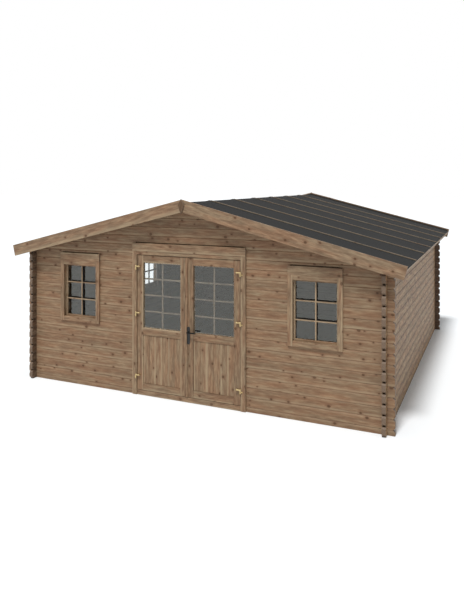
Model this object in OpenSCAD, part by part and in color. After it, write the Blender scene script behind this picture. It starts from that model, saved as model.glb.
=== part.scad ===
// Wooden garden house with notched log corners, a double glazed door and a low felt roof.
// Millimetres. The origin is on the ground under the middle of the house, the door faces -Y, +Z is up.

/* [Logs] */
// Height of one log course
course = 114; // [104:1:124]
// Thickness of a log
log_t = 44; // [40:1:56]
// Depth of the V groove where two logs meet
groove = 5; // [3:0.5:7]
// Length of a log past the wall that it crosses
log_end = 83; // [60:1:110]
// Corner cut at the end of a log
end_cut = 25; // [15:1:27]
// Play round a log in its notch
notch_play = 0.4; // [0.2:0.1:0.8]
// Width of the tongue groove that shows at a log's end
tongue_w = 26; // [20:1:28]
// Height of the tongue groove that shows at a log's end
tongue_h = 18; // [12:1:24]

/* [House] */
// Width over the outer faces of the side walls
house_w = 4760; // [4600:10:5200]
// Depth over the outer faces of the gable walls
house_d = 5090; // [4200:10:5600]
// Height of a side wall at its outer face
eave_z = 1807; // [1780:1:1860]
// Pitch of the roof in degrees
pitch = 14; // [13:0.5:16]

/* [Roof] */
// Play under the roof boards
roof_play = 0.2; // [0.1:0.1:0.5]
// Roof boards past the side wall, measured level
eave_out = 195; // [150:1:240]
// Roof boards past the gable wall
gable_out = 134; // [120:1:180]
// Thickness of the roof boards
roof_board_t = 19; // [16:1:24]
// Thickness of the felt
felt_t = 4; // [3:0.5:6]
// Felt past the eave fascia
felt_lip = 4; // [2:0.5:10]
// Number of battens on each slope
battens = 6; // [4:1:8]
// Width of a batten
batten_w = 24; // [18:1:40]
// Thickness of a batten
batten_t = 10; // [8:1:22]
// Width of a barge board
barge_w = 148; // [130:1:170]
// Thickness of a barge board
barge_t = 20; // [16:1:26]
// Barge board above the felt, square to the slope
barge_rise = 34; // [24:1:44]
// Barge board past the eave fascia
barge_past = 6; // [4:1:20]
// Height of the eave fascia
fascia_h = 48; // [40:1:70]
// Thickness of the eave fascia
fascia_t = 18; // [14:1:24]
// Width of the kite at the gable's peak
finial_w = 85; // [70:1:110]
// Height of the kite at the gable's peak
finial_h = 184; // [150:1:210]
// Widest line of the kite below its tip
finial_drop = 76; // [60:1:100]
// Thickness of the kite
finial_t = 16; // [12:1:22]
// Tip of the kite above the barge boards
finial_tip = 11; // [5:1:20]
// Width of a purlin
purlin_w = 44; // [38:1:60]
// Depth of a purlin
purlin_h = 80; // [70:1:85]
// Side purlins, from the middle of the house
purlin_x = 1190; // [1100:5:1280]

/* [Floor] */
// Height of a floor bearer
bearer_h = 40; // [34:1:44]
// Width of a floor bearer
bearer_w = 60; // [40:1:80]
// Number of floor bearers
bearers = 9; // [6:1:12]
// Thickness of the floor boards
floor_t = 20; // [18:1:24]

/* [Frames] */
// Width of the casing round a window
casing_w = 57; // [50:1:64]
// Thickness of the casing on the wall's face
casing_t = 22; // [18:1:26]
// Thickness of a jamb between the casings
jamb_t = 28; // [22:1:34]
// Play between a jamb and the logs
jamb_play = 0.8; // [0.4:0.1:2]
// Height of the board over a door or window
head_h = 100; // [80:1:110]
// Room over the head board for the logs to settle
settle = 10; // [6:1:14]

/* [Door] */
// Clear width between the door jambs
door_w = 1420; // [1340:2:1480]
// Height of the threshold
threshold_h = 60; // [54:1:66]
// Underside of the door frame's head
door_z = 1759; // [1710:1:1775]
// Width of the casing beside the door
door_casing = 63; // [56:1:70]
// Height of the casing over the door
door_lintel = 45; // [40:1:56]
// Head board over the door in front of the casing
head_out = 5; // [0:1:8]
// Front of the door leaves in front of the wall's face
leaf_out = 14; // [8:1:16]
// Thickness of a door leaf
leaf_t = 38; // [32:1:40]
// Gap round a door leaf
leaf_gap = 5; // [5:0.5:8]
// Meeting line of the leaves, left of the door's middle
meet_in = 20; // [10:1:26]
// Width of the cover strip along the right leaf's meeting edge
strip_w = 32; // [28:1:38]
// Thickness of the cover strip
strip_t = 12; // [8:1:16]
// Edge of a leaf's glass from the door's middle
light_in = 89; // [82:1:104]
// Front of a leaf's glass behind the leaf's face
light_set = 22; // [14:1:24]
// Width of the hinge stile
hinge_stile = 85; // [70:1:96]
// Height of the top rail
top_rail = 93; // [76:1:104]
// Height of the bottom rail
bottom_rail = 87; // [76:1:110]
// Underside of the lock rail
lock_z = 753; // [720:1:800]
// Height of the lock rail
lock_rail = 92; // [70:1:104]
// Thickness of the lower panel
panel_t = 16; // [12:1:20]
// Front of the lower panel behind the leaf's face
panel_set = 8; // [4:1:10]
// Door stop past the jamb
stop_w = 15; // [10:1:20]

/* [Hinges and handle] */
// Height of the lowest hinge
hinge_low = 235; // [200:1:300]
// Height of the middle hinge
hinge_mid = 1015; // [900:1:1100]
// Height of the top hinge
hinge_top = 1596; // [1500:1:1640]
// Radius of a hinge barrel
barrel_r = 9; // [7:0.5:9.5]
// Length of each half of a hinge barrel
barrel_h = 21; // [18:1:30]
// Radius of a hinge pin
pin_r = 3.5; // [3:0.25:4]
// Hinge axis outside the edge of the doorway
hinge_past = 2; // [0:0.5:6]
// Hinge axis in front of the casing
hinge_out = 15; // [14.5:0.5:18]
// Length of a hinge arm over the leaf
arm_l = 47; // [40:1:56]
// Radius of a hinge arm
arm_r = 8; // [6:0.5:9]
// Middle of a hinge arm above the middle of the hinge
arm_up = 17; // [12:1:20]
// Radius of the knob where a hinge arm is held to the leaf
knob_r = 10; // [8:0.5:12]
// Radius of the stem that holds a hinge to the casing
stem_r = 5; // [4:0.5:6]
// Thickness of the rose under a stem
rose_t = 3; // [2:0.5:4]
// Width of a handle plate
plate_w = 40; // [34:1:44]
// Height of a handle plate
plate_h = 212; // [190:1:230]
// Thickness of a handle plate
plate_t = 4; // [3:0.5:6]
// Middle of the handle plate from the leaf's edge
plate_in = 42; // [40:1:50]
// Middle of the handle plate above the ground
plate_z = 813; // [800:1:830]
// Lever above the middle of the plate
lever_up = 42; // [30:1:60]
// Length of the lever
lever_l = 108; // [90:1:125]
// Radius of the lever
lever_r = 8; // [6:0.5:9]
// Middle of the lever in front of the plate
lever_out = 42; // [34:1:50]
// Radius of the spindle
spindle_r = 5; // [4:0.5:6]

/* [Windows] */
// Clear width of a window
window_w = 513; // [460:1:560]
// Underside of the clear window opening
window_low = 885; // [840:1:920]
// Top of the clear window opening
window_high = 1574; // [1500:1:1590]
// Middle of a front window from the side wall's face
window_in = 784; // [740:1:840]
// Middle of the side window behind the middle of the house
side_window_y = 350; // [-600:10:900]
// Front of a sash behind the wall's face
sash_set = 30; // [24:1:34]
// Thickness of a sash
sash_t = 34; // [28:1:36]
// Width of a sash stile
sash_stile = 18; // [14:1:40]
// Glass in front of the back of a sash
pane_back = 3; // [2:0.5:8]
// Thickness of the glass
glass_t = 4; // [3:0.5:6]
// Play round glass, panels and sashes
glass_play = 0.4; // [0.2:0.1:0.8]

/* [Hidden] */
rise = tan(pitch);
ridge_z = eave_z + house_w / 2 * rise;
slope_end = (house_w / 2 + eave_out) / cos(pitch);
roof_l = house_d + 2 * gable_out;
barge_top = roof_board_t + felt_t + barge_rise;
barge_end = slope_end + fascia_t + barge_past;
peak_z = ridge_z + barge_top / cos(pitch);
room_w = house_w - 2 * log_t;
room_d = house_d - 2 * log_t;
floor_z = bearer_h + floor_t;
jamb_hole = jamb_t + jamb_play;
window_x = house_w / 2 - window_in;
// The joints of the side walls lie half a course lower than the gable walls' joints, and so does their window
side_window_drop = course / 2;
window_top = window_high + casing_w + head_h;
door_top = door_z + door_lintel + head_h;
// The gable starts at the joint next under the top of the door opening
gable_z = (floor((door_top + settle) / course - 0.5) + 0.5) * course;
leaf_set = -leaf_out;
leaf_back = leaf_set + leaf_t;
leaf_edge = door_w / 2 - leaf_gap;
left_meet = leaf_gap / 2 + meet_in;
right_meet = leaf_gap / 2 - meet_in;
leaf_low = threshold_h + leaf_gap;
leaf_high = door_z - leaf_gap;
glass_l = light_in;
glass_r = leaf_edge - hinge_stile;
panel_low = leaf_low + bottom_rail;
light_low = lock_z + lock_rail;
light_high = leaf_high - top_rail;
hinge_x = door_w / 2 + hinge_past;
hinge_y = -casing_t - hinge_out;
pin_play = 0.1;
neck_play = 0.3;
half_gap = 0.4;
plate_x = right_meet + plate_in;
plate_gap = 2;
lever_z = plate_z + lever_up;
neck_r = spindle_r + 3;
cut = 1;
wood = "#8f765c";
wood_dark = "#7a6049";
felt_grey = "#414141";
brass = "#c9a45a";
black = "#3a3835";
clear_grey = [0.45, 0.5, 0.5, 0.45];

// Puts a flat drawing upright: its x runs along X, its y up Z, and it is t thick from y to the back
module upright(y, t) {
    translate([0, y + t, 0]) rotate([90, 0, 0]) linear_extrude(t) children();
}

// Runs an upright cross-section, drawn over Y and Z, along X from -l/2 to l/2
module along_x(l) {
    translate([-l / 2, 0, 0]) rotate([90, 0, 90]) linear_extrude(l) children();
}

// Runs an upright cross-section, drawn over X and Z, along Y from -l/2 to l/2
module along_y(l) {
    upright(-l / 2, l) children();
}

// Upright rectangle of width w round x, from z0 to z1
module pane_shape(x, w, z0, z1) {
    translate([x - w / 2, z0]) square([w, z1 - z0]);
}

// Heights of the joints between logs, where the lowest is at first
function joints(first, top) = [for (z = first; z < top; z = z + course) z];

// Cross-section of a stack of logs: outer face at 0, V grooves at the joints, top sloping up by lift
module log_section(first, top, lift) {
    seams = [for (z = joints(first, top)) if (z > groove && z < top - groove) z];
    outside = [for (z = seams) each [[0, z - groove], [groove, z], [0, z + groove]]];
    inside = [for (z = seams) each [[log_t, z - groove], [log_t - groove, z], [log_t, z + groove]]];
    back = [for (i = [len(inside) - 1 : -1 : 0]) inside[i]];
    polygon(concat([[0, 0]], outside, [[0, top], [log_t, top + lift]], back, [[log_t, 0]]));
}

// Side view of a log wall: log ends with cut corners, and a window for each log that crosses it
module log_elevation(w, first, top) {
    neck = course / 4 + notch_play;
    difference() {
        pane_shape(0, w + 2 * log_end, 0, top);
        for (side = [-1, 1], z = joints(first, top + neck)) {
            translate([side * (w / 2 + log_end), z]) rotate(45) square(end_cut * sqrt(2), center = true);
            pane_shape(side * (w - log_t) / 2, log_t + 2 * notch_play, z - neck, z + neck);
        }
    }
}

// Grooves of the tongue joints, open at both ends of a log wall and running in to its notches
module tongue_grooves(w, first, top) {
    for (side = [-1, 1], z = joints(first, top))
        translate([side * (w + log_end) / 2, log_t / 2, z])
            cube([log_end + 2 * cut, tongue_w, tongue_h], center = true);
}

// A log wall with its outer face on Y = 0 and the room behind it; the children are cut out of its side view
module log_wall(w, first, top, lift) {
    difference() {
        intersection() {
            along_x(w + 2 * log_end) log_section(first, top, lift);
            upright(0, log_t) difference() {
                log_elevation(w, first, top + lift);
                children();
            }
        }
        tongue_grooves(w, first, top);
    }
}

// Shape of the end of the house under the roof boards
module gable_shape() {
    reach = house_w / 2 + log_end + cut;
    polygon([[-reach, -cut], [reach, -cut], [reach, ridge_z - reach * rise], [0, ridge_z],
        [-reach, ridge_z - reach * rise]]);
}

module purlin_shape(x, play) {
    left = x - purlin_w / 2 - play;
    right = x + purlin_w / 2 + play;
    low = ridge_z - max(abs(left), abs(right)) * rise - purlin_h - play;
    intersection() {
        translate([left, low]) square([right - left, ridge_z - low]);
        gable_shape();
    }
}

// What is cut out of a gable wall round the purlins and above the roof line
module purlin_slots() {
    for (x = [-purlin_x, 0, purlin_x]) purlin_shape(x, notch_play);
}

module above_roof() {
    difference() {
        pane_shape(0, house_w + 4 * log_end, eave_z - course, ridge_z + course);
        gable_shape();
    }
}

module gable_wall() {
    log_wall(house_w, course / 2, ridge_z, 0) {
        purlin_slots();
        above_roof();
        children();
    }
}

// Cut in the logs for a window, with room over the head board
module window_hole(x) {
    pane_shape(x, window_w + 2 * jamb_hole, window_low - jamb_hole, window_top + settle);
}

module door_hole() {
    pane_shape(0, door_w + 2 * jamb_hole, -cut, door_top + settle);
}

module front_wall_part(side) {
    color(wood) translate([0, -house_d / 2, 0]) gable_wall() {
        window_hole(side * window_x);
        door_hole();
        pane_shape(-side * house_w, 2 * house_w, -cut, ridge_z + cut);
        pane_shape(0, 2 * house_w, gable_z, ridge_z + cut);
    }
}

module front_wall_left() {
    front_wall_part(-1);
}

module front_wall_right() {
    front_wall_part(1);
}

module front_gable() {
    color(wood) translate([0, -house_d / 2, 0]) gable_wall() {
        door_hole();
        pane_shape(0, 2 * house_w, -cut, gable_z);
    }
}

module back_wall() {
    color(wood) translate([0, house_d / 2, 0]) rotate(180) gable_wall();
}

module left_wall() {
    color(wood) translate([-house_w / 2, 0, 0]) rotate(-90)
        log_wall(house_d, 0, eave_z, log_t * rise)
            translate([0, -side_window_drop]) window_hole(-side_window_y);
}

module right_wall() {
    color(wood) translate([house_w / 2, 0, 0]) rotate(90) log_wall(house_d, 0, eave_z, log_t * rise);
}

module floor_bearers() {
    pitch_y = (room_d - bearer_w) / (bearers - 1);
    color(wood_dark) for (i = [0 : bearers - 1])
        translate([-room_w / 2, -room_d / 2 + i * pitch_y, 0]) cube([room_w, bearer_w, bearer_h]);
}

module floor_boards() {
    color(wood) translate([-room_w / 2, -room_d / 2, bearer_h]) cube([room_w, room_d, floor_t]);
}

module ridge_purlin() {
    color(wood) along_y(roof_l) purlin_shape(0, 0);
}

module left_purlin() {
    color(wood) along_y(roof_l) purlin_shape(-purlin_x, 0);
}

module right_purlin() {
    color(wood) along_y(roof_l) purlin_shape(purlin_x, 0);
}

// A layer of the right slope between two heights above the underside of the roof boards,
// mitred at the ridge and square at its end
module slope_layer(low, high, end, y, l) {
    translate([0, 0, ridge_z]) rotate([0, pitch, 0]) upright(y, l)
        polygon([[-low * rise, low], [end, low], [end, high], [-high * rise, high]]);
}

module roof_boards_right() {
    color(wood) slope_layer(roof_play, roof_board_t, slope_end, -roof_l / 2, roof_l);
}

module roof_boards_left() {
    mirror([1, 0, 0]) roof_boards_right();
}

module felt_right() {
    color(felt_grey) slope_layer(roof_board_t, roof_board_t + felt_t, slope_end + fascia_t + felt_lip,
        -roof_l / 2, roof_l);
}

module felt_left() {
    mirror([1, 0, 0]) felt_right();
}

module battens_right() {
    bay = roof_l / (battens + 1);
    top = roof_board_t + felt_t;
    color(wood_dark) for (i = [1 : battens])
        slope_layer(top, top + batten_t, slope_end + fascia_t, -roof_l / 2 + i * bay - batten_w / 2, batten_w);
}

module battens_left() {
    mirror([1, 0, 0]) battens_right();
}

module eave_fascia_right() {
    color(wood) translate([0, 0, ridge_z]) rotate([0, pitch, 0])
        translate([slope_end, -roof_l / 2, roof_board_t - fascia_h]) cube([fascia_t, roof_l, fascia_h]);
}

module eave_fascia_left() {
    mirror([1, 0, 0]) eave_fascia_right();
}

module barge_front_right() {
    color(wood) slope_layer(barge_top - barge_w, barge_top, barge_end, -roof_l / 2 - barge_t, barge_t);
}

module barge_front_left() {
    mirror([1, 0, 0]) barge_front_right();
}

module barge_back_right() {
    mirror([0, 1, 0]) barge_front_right();
}

module barge_back_left() {
    mirror([1, 0, 0]) barge_back_right();
}

module finial_front() {
    tip = peak_z + finial_tip;
    color(wood) upright(-roof_l / 2 - barge_t - finial_t, finial_t)
        polygon([[0, tip], [finial_w / 2, tip - finial_drop], [0, tip - finial_h],
            [-finial_w / 2, tip - finial_drop]]);
}

module finial_back() {
    mirror([0, 1, 0]) finial_front();
}

// Upright ring round a clear opening, from an inner to an outer margin
module ring(w, z0, z1, inner, outer) {
    difference() {
        pane_shape(0, w + 2 * outer, z0 - outer, z1 + outer);
        pane_shape(0, w + 2 * inner, z0 - inner, z1 + inner);
    }
}

// Window frame that clasps the logs: outer casing, jambs through the wall, inner casing
module window_frame() {
    color(wood) union() {
        upright(-casing_t, casing_t) ring(window_w, window_low, window_high, 0, casing_w);
        upright(0, log_t) ring(window_w, window_low, window_high, 0, jamb_t);
        upright(log_t, casing_t) ring(window_w, window_low, window_high, 0, casing_w);
    }
}

module sash() {
    color(wood_dark) upright(sash_set, sash_t)
        ring(window_w, window_low, window_high, -sash_stile, -glass_play);
}

module pane() {
    inset = sash_stile + glass_play;
    color(clear_grey) upright(sash_set + sash_t - pane_back - glass_t, glass_t)
        pane_shape(0, window_w - 2 * inset, window_low + inset, window_high - inset);
}

module at_front_window(side) {
    translate([side * window_x, -house_d / 2, 0]) children();
}

module at_side_window() {
    translate([-house_w / 2, side_window_y, -side_window_drop]) rotate(-90) children();
}

module window_frame_left() {
    at_front_window(-1) window_frame();
}

module window_frame_right() {
    at_front_window(1) window_frame();
}

module window_frame_side() {
    at_side_window() window_frame();
}

module at_each_window() {
    at_front_window(-1) children();
    at_front_window(1) children();
    at_side_window() children();
}

module window_sashes() {
    at_each_window() sash();
}

module window_panes() {
    at_each_window() pane();
}

// Boards over an opening, on both faces of the wall, standing on the casing and out in front of it
module head_pair(w, z, out) {
    upright(-casing_t - out, casing_t + out) pane_shape(0, w, z, z + head_h);
    upright(log_t, casing_t) pane_shape(0, w, z, z + head_h);
}

module head_boards() {
    color(wood) {
        translate([0, -house_d / 2, 0])
            head_pair(door_w + 2 * door_casing, door_z + door_lintel, head_out);
        at_each_window() head_pair(window_w + 2 * casing_w, window_high + casing_w, 0);
    }
}

// Three-sided frame from the ground up, from an inner margin of the clear doorway to side and head margins
module door_ring(inner, side, head) {
    difference() {
        pane_shape(0, door_w + 2 * side, 0, door_z + head);
        pane_shape(0, door_w + 2 * inner, -cut, door_z + inner);
    }
}

module door_frame() {
    stop_y = leaf_back + leaf_gap;
    color(wood) translate([0, -house_d / 2, 0]) union() {
        upright(-casing_t, casing_t) door_ring(0, door_casing, door_lintel);
        upright(0, log_t) door_ring(0, jamb_t, jamb_t);
        difference() {
            upright(log_t, casing_t) door_ring(0, door_casing, door_lintel);
            translate([-room_w / 2, log_t - cut, -cut]) cube([room_w, casing_t + 2 * cut, floor_z + cut]);
        }
        difference() {
            upright(stop_y, log_t + casing_t - stop_y) door_ring(-stop_w, 0, 0);
            translate([-door_w / 2, stop_y - cut, -cut]) cube([door_w, casing_t + log_t, threshold_h + cut]);
        }
    }
}

module threshold() {
    color(wood_dark) translate([-door_w / 2, leaf_set - house_d / 2, 0])
        cube([door_w, log_t + leaf_out, threshold_h]);
}

// Stiles and rails of a right-hand leaf that starts at its meeting edge
module leaf_frame(meet) {
    upright(leaf_set, leaf_t) difference() {
        translate([meet, leaf_low]) square([leaf_edge - meet, leaf_high - leaf_low]);
        translate([glass_l, panel_low]) square([glass_r - glass_l, lock_z - panel_low]);
        translate([glass_l, light_low]) square([glass_r - glass_l, light_high - light_low]);
    }
}

module leaf_infill(y, t, z0, z1) {
    upright(y, t) translate([glass_l + glass_play, z0 + glass_play])
        square([glass_r - glass_l - 2 * glass_play, z1 - z0 - 2 * glass_play]);
}

module leaf_panel() {
    leaf_infill(leaf_set + panel_set, panel_t, panel_low, lock_z);
}

module leaf_glass() {
    leaf_infill(leaf_set + light_set, glass_t, light_low, light_high);
}

module at_hinges() {
    for (z = [hinge_low, hinge_mid, hinge_top]) translate([hinge_x, hinge_y, z]) children();
}

// Upper half of a hinge: a bored barrel with a ball on top, and an arm over the leaf to a knob on its face
module leaf_hinge() {
    difference() {
        union() {
            cylinder(r = barrel_r, h = barrel_h, $fn = 32);
            translate([0, 0, barrel_h]) sphere(r = barrel_r, $fn = 32);
            translate([0, 0, arm_up]) rotate([0, -90, 0]) cylinder(r = arm_r, h = arm_l, $fn = 32);
            translate([-arm_l, 0, arm_up]) {
                sphere(r = knob_r, $fn = 32);
                rotate([-90, 0, 0]) cylinder(r = arm_r, h = leaf_set - hinge_y, $fn = 32);
            }
        }
        translate([0, 0, -cut]) cylinder(r = pin_r + pin_play, h = barrel_h * 0.8 + cut, $fn = 32);
    }
}

// Lower half of a hinge: a barrel with a ball below, the pin, and a slanting stem to a rose on the casing
module frame_hinge() {
    translate([0, 0, -barrel_h]) cylinder(r = barrel_r, h = barrel_h - half_gap, $fn = 32);
    translate([0, 0, -barrel_h]) sphere(r = barrel_r, $fn = 32);
    translate([0, 0, -barrel_h / 2]) cylinder(r = pin_r, h = barrel_h * 1.2, $fn = 32);
    translate([0, 0, -barrel_h / 2]) {
        difference() {
            rotate([-90, 0, -45]) cylinder(r = stem_r, h = 2 * hinge_out, $fn = 24);
            translate([-4 * hinge_out, hinge_out - cut, -barrel_h])
                cube([8 * hinge_out, 2 * hinge_out, 2 * barrel_h]);
        }
        translate([hinge_out, hinge_out - rose_t, 0]) rotate([-90, 0, 0])
            cylinder(r = barrel_r, h = rose_t, $fn = 32);
    }
}

module frame_hinges() {
    color(brass) translate([0, -house_d / 2, 0]) for (flip = [0, 1])
        mirror([flip, 0, 0]) at_hinges() frame_hinge();
}

module at_right_leaf() {
    translate([0, -house_d / 2, 0]) children();
}

module at_left_leaf() {
    mirror([1, 0, 0]) at_right_leaf() children();
}

module left_leaf_frame() {
    color(wood) at_left_leaf() leaf_frame(left_meet);
}

module left_leaf_panel() {
    color(wood_dark) at_left_leaf() leaf_panel();
}

module left_leaf_glass() {
    color(clear_grey) at_left_leaf() leaf_glass();
}

module left_leaf_hinges() {
    color(brass) at_left_leaf() at_hinges() leaf_hinge();
}

// Strip on the face of the right leaf along its meeting edge, cut back beside the handle plate
module cover_strip() {
    upright(leaf_set - strip_t, strip_t) difference() {
        translate([right_meet, leaf_low]) square([strip_w, leaf_high - leaf_low]);
        translate([plate_x - plate_w / 2 - plate_gap, plate_z - plate_h / 2 - plate_gap])
            square([plate_w, plate_h + 2 * plate_gap]);
    }
}

module right_leaf_frame() {
    color(wood) at_right_leaf() difference() {
        union() {
            leaf_frame(right_meet);
            cover_strip();
        }
        translate([plate_x, leaf_set - cut, lever_z]) rotate([-90, 0, 0])
            cylinder(r = neck_r + neck_play, h = leaf_t + 2 * cut, $fn = 32);
    }
}

module right_leaf_panel() {
    color(wood_dark) at_right_leaf() leaf_panel();
}

module right_leaf_glass() {
    color(clear_grey) at_right_leaf() leaf_glass();
}

module right_leaf_hinges() {
    color(brass) at_right_leaf() at_hinges() leaf_hinge();
}

// Plates with round ends on both faces of the leaf, bored for the lever's neck
module handle_plates() {
    color(black) at_right_leaf() for (y = [leaf_set - plate_t, leaf_back])
        upright(y, plate_t) translate([plate_x, plate_z]) difference() {
            union() {
                square([plate_w, plate_h - plate_w], center = true);
                for (end = [-1, 1]) translate([0, end * (plate_h - plate_w) / 2])
                    circle(d = plate_w, $fn = 48);
            }
            translate([0, lever_up]) circle(r = neck_r + neck_play, $fn = 32);
        }
}

// A lever on each face of the leaf, on one spindle
module lever() {
    reach = plate_t + lever_out;
    color(black) at_right_leaf() translate([plate_x, leaf_set + leaf_t / 2, lever_z]) {
        rotate([90, 0, 0]) cylinder(r = neck_r, h = leaf_t + 2 * reach, center = true, $fn = 32);
        for (y = [-1, 1]) translate([0, y * (leaf_t / 2 + reach), 0]) {
            rotate([0, 90, 0]) cylinder(r = lever_r, h = lever_l, $fn = 32);
            sphere(r = lever_r, $fn = 32);
            translate([lever_l, 0, 0]) sphere(r = lever_r, $fn = 32);
        }
    }
}

front_wall_left();
front_wall_right();
front_gable();
back_wall();
left_wall();
right_wall();
floor_bearers();
floor_boards();
ridge_purlin();
left_purlin();
right_purlin();
roof_boards_left();
roof_boards_right();
felt_left();
felt_right();
battens_left();
battens_right();
eave_fascia_left();
eave_fascia_right();
barge_front_left();
barge_front_right();
barge_back_left();
barge_back_right();
finial_front();
finial_back();
door_frame();
threshold();
head_boards();
frame_hinges();
left_leaf_frame();
left_leaf_panel();
left_leaf_glass();
left_leaf_hinges();
right_leaf_frame();
right_leaf_panel();
right_leaf_glass();
right_leaf_hinges();
handle_plates();
lever();
window_frame_left();
window_frame_right();
window_frame_side();
window_sashes();
window_panes();
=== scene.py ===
# %% [markdown]
# # A wooden garden house, dressed in Blender
# The house comes in as a fixed frame of solids: log walls, roof, door leaves and windows at their real
# size. This lesson gives every piece its finish and adds what a joiner sees from close by: separate
# boards with eased edges, glazing bars, grain and knots, felt, brass and glass. The frame itself is never
# moved.

# %% Load the frame
import math
import random

import bmesh
import bpy
from mathutils import Matrix, Vector


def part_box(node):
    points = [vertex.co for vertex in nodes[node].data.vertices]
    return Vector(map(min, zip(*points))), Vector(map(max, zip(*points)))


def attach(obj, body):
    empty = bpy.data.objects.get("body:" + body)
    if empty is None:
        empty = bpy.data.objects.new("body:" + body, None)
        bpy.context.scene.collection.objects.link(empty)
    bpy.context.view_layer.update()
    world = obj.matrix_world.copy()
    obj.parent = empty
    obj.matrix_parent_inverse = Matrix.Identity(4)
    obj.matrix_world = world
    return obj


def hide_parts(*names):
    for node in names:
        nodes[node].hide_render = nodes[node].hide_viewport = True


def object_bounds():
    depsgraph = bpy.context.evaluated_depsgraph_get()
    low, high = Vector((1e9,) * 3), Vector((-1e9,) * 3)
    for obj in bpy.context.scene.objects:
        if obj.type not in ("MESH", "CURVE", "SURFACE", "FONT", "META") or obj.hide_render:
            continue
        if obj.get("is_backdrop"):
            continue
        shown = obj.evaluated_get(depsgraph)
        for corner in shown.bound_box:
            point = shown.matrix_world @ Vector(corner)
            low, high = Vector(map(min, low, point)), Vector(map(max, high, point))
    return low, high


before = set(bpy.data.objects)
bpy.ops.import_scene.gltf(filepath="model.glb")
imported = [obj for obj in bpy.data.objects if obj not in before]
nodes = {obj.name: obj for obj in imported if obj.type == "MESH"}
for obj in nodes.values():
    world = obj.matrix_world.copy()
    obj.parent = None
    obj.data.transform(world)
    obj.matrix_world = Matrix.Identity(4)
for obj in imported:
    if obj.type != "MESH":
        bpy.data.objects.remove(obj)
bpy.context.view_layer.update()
scene = bpy.context.scene

# %% [markdown]
# ## Sizes read from the frame
# A joiner measures the house before cutting boards. Typing the sizes again would let them drift apart
# from the solids, so each one is read from the box of the piece that it belongs to. Only board sizes are
# written.

# %% Measure the house
COURSES_UNDER_GABLE = 16.5     # half a log and sixteen whole ones
front_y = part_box("front_wall_left")[0].y
log_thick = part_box("front_wall_left")[1].y - front_y
left_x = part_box("left_wall")[0].x
right_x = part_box("right_wall")[1].x
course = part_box("front_gable")[0].z / COURSES_UNDER_GABLE
ridge_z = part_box("ridge_purlin")[1].z
rise = (ridge_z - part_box("right_wall")[1].z) / (right_x - log_thick)
pitch = math.atan(rise)
print("log course", round(course, 4), "roof pitch", round(math.degrees(pitch), 2))

# %% [markdown]
# ## The camera
# The picture was taken from the right of the door by a level camera at about ridge height, so upright
# edges stay upright. Tilting the camera down would make them lean together. A level camera with its lens
# shifted down keeps them parallel, as an architect's camera does.

# %% Camera
SENSOR_WIDTH = 36.0            # millimetres, as the lens
LENS = 36.314
LENS_SHIFT = -0.196            # share of the picture's longer side
CAMERA_PLACE = (3.475, -9.034, 2.664)
CAMERA_TURN = math.radians(23.955)
camera_data = bpy.data.cameras.new("photo_camera")
camera_data.sensor_width = SENSOR_WIDTH
camera_data.lens = LENS
camera_data.shift_y = LENS_SHIFT
camera = bpy.data.objects.new("photo_camera", camera_data)
camera.location = CAMERA_PLACE
camera.rotation_euler = (math.pi / 2, 0, CAMERA_TURN)
scene.collection.objects.link(camera)
scene.camera = camera
scene.view_settings.view_transform = "Standard"
print("camera", round(camera_data.lens, 1), "mm at", tuple(camera.location))

# %% [markdown]
# ## Building node trees in code
# Every finish below is a small network of shader nodes. Blender's own calls for this are wordy, so
# helpers come first: one adds a node and fills its sockets, and the others do arithmetic with it, mix
# colours and turn the colours of a screen into those that shaders use.

# %% Node helpers
def add_node(tree, kind, sockets=None, **options):
    """Adds a shader node. A socket takes a constant, or another node's output to link."""
    node = tree.nodes.new("ShaderNode" + kind)
    for option, value in options.items():
        setattr(node, option, value)
    for key, value in (sockets or {}).items():
        if isinstance(value, bpy.types.NodeSocket):
            tree.links.new(value, node.inputs[key])
        else:
            node.inputs[key].default_value = value
    return node


def calc(tree, operation, a, b=0.0, clamp=False):
    return add_node(tree, "Math", {0: a, 1: b}, operation=operation, use_clamp=clamp).outputs[0]


def between(tree, share, low, high):
    """The low value where the share is 0, the high one where it is 1."""
    return calc(tree, "ADD", calc(tree, "MULTIPLY", share, high - low), low)


def fading(tree, value, full, none):
    """1 where the value is at full, and down to 0 where it is at none, which may be lower or higher."""
    slope = 1 / (none - full)
    return calc(tree, "SUBTRACT", none * slope, calc(tree, "MULTIPLY", value, slope), clamp=True)


def weighted(tree, *parts):
    """The sum of some values, each times its weight."""
    total = 0.0
    for value, weight in parts:
        total = calc(tree, "ADD", total, calc(tree, "MULTIPLY", value, weight))
    return total


def split(tree, vector):
    """The x, y and z of a vector."""
    return add_node(tree, "SeparateXYZ", {0: vector}).outputs


def mix_colour(tree, share, a, b, blend="MIX"):
    mixer = add_node(tree, "Mix", {0: share, 6: a, 7: b}, data_type="RGBA", blend_type=blend)
    return mixer.outputs[2]


def shade(red, green, blue):
    """A display colour from 0 to 255, as the linear colour that shaders use."""
    def linear(value):
        share = value / 255
        return share / 12.92 if share <= 0.04045 else ((share + 0.055) / 1.055) ** 2.4
    return (linear(red), linear(green), linear(blue), 1.0)


print("helpers ready, mid grey is", round(shade(128, 128, 128)[0], 3))

# %% [markdown]
# A finish starts as a material with one main shader. Most of them end in the same way too: a colour, a
# roughness and a fine relief go into that shader. These two steps are written once, and so is the
# question where a point lies on its piece.

# %% Material helpers
def new_finish(name):
    """A new material, its node tree and its main shader."""
    material = bpy.data.materials.new(name)
    material.use_nodes = True
    return material, material.node_tree, material.node_tree.nodes["Principled BSDF"]


def own_place(tree):
    """Where a point is on its piece, in metres."""
    return add_node(tree, "TexCoord").outputs["Object"]


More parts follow.
